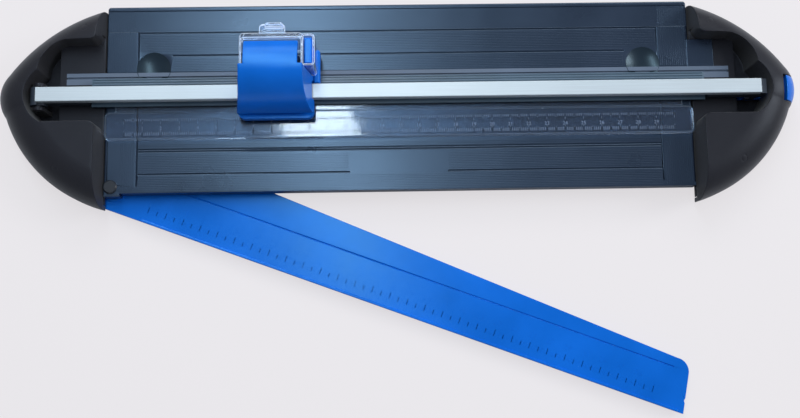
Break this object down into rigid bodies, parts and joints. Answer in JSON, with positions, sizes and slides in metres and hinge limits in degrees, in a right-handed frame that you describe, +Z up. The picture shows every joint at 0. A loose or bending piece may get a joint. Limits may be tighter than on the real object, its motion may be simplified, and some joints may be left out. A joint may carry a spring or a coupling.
{
  "type": "sliding paper trimmer",
  "caption": "Rotary paper trimmer with a sliding cutting head on a hinged rail, a grooved deck between pointed end pods and a swing-out ruler arm.",
  "frame": {"origin": "on the desk, at the middle of the centre foot, under the rail's centre line", "axes": "+X along the rail towards the latch, +Y to the back of the deck, +Z up"},
  "size_m": [0.436, 0.2276, 0.054],
  "materials": {
    "pod_plastic": "satin moulded",
    "deck_plastic": "satin, finely ribbed",
    "frame_plastic": "matt moulded",
    "mat_plastic": "matt",
    "rubber": "matt",
    "screw_steel": "zinc plated",
    "black_steel": "blackened",
    "spring_steel": "drawn wire",
    "bar_aluminium": "satin anodised",
    "carrier_plastic": "satin moulded",
    "clear_plastic": "clear moulded",
    "blue_plastic": "satin moulded",
    "inner_plastic": "matt moulded",
    "blade_steel": "ground"
  },
  "bodies": {
    "base": {"base_frame": "frame_plastic", "deck_panel": "deck_plastic", "left_end_cover": "pod_plastic", "right_end_cover": "pod_plastic", "cutting_mat": "mat_plastic", "rubber_feet": "rubber", "cover_screws": "screw_steel", "deck_screws": "screw_steel", "arm_pivot_screw": "black_steel", "arm_pivot_washer": "inner_plastic", "arm_pivot_nut": "screw_steel", "rail_hinge_pin": "screw_steel", "latch_spring": "spring_steel"},
    "rail": {"rail_carrier": "carrier_plastic", "guide_bar": "bar_aluminium", "clear_ruler": "clear_plastic", "rail_hinge_block": "inner_plastic", "rail_latch_block": "inner_plastic", "clamp_pad": "rubber", "rail_screws": "screw_steel"},
    "latch": {"latch_button": "blue_plastic"},
    "carriage": {"carriage_body": "blue_plastic", "glide_pads": "inner_plastic", "carriage_keepers": "inner_plastic", "keeper_screws": "screw_steel", "return_springs": "spring_steel"},
    "press_head": {"press_handle": "blue_plastic", "blade_cartridge": "inner_plastic", "blade_axle": "blue_plastic"},
    "blade": {"rotary_blade": "blade_steel", "blade_hub": "inner_plastic"},
    "guard": {"clear_guard": "clear_plastic"},
    "arm": {"swing_arm": "blue_plastic", "arm_bush": "inner_plastic"}
  },
  "joints": [
    {"name": "rail_lift", "type": "hinge", "parent": "base", "child": "rail", "pos_m": [-0.1958, 0, 0.0186], "axis": [0, -1, 0], "range_deg": [0, 35]},
    {"name": "latch_press", "type": "slide", "parent": "base", "child": "latch", "axis": [-1, 0, 0], "range_m": [0, 0.0018], "stiffness_N_per_m": 500, "springref_m": -0.003, "deforming": ["latch_spring"]},
    {"name": "carriage_slide", "type": "slide", "parent": "rail", "child": "carriage", "axis": [1, 0, 0], "range_m": [-0.083, 0.217]},
    {"name": "head_press", "type": "slide", "parent": "carriage", "child": "press_head", "axis": [0, 0, -1], "range_m": [0, 0.003], "stiffness_N_per_m": 300, "springref_m": -0.004, "deforming": ["return_springs"]},
    {"name": "blade_spin", "type": "hinge", "parent": "press_head", "child": "blade", "pos_m": [-0.067, 0.0117, 0.0305], "axis": [0, 1, 0], "continuous": true},
    {"name": "guard_lift", "type": "slide", "parent": "carriage", "child": "guard", "axis": [0, 0, 1], "range_m": [0, 0.03]},
    {"name": "arm_swing", "type": "hinge", "parent": "base", "child": "arm", "pos_m": [-0.1575, -0.0489, 0.0044], "axis": [0, 0, 1], "range_deg": [-69.6, 20.4]}
  ]
}
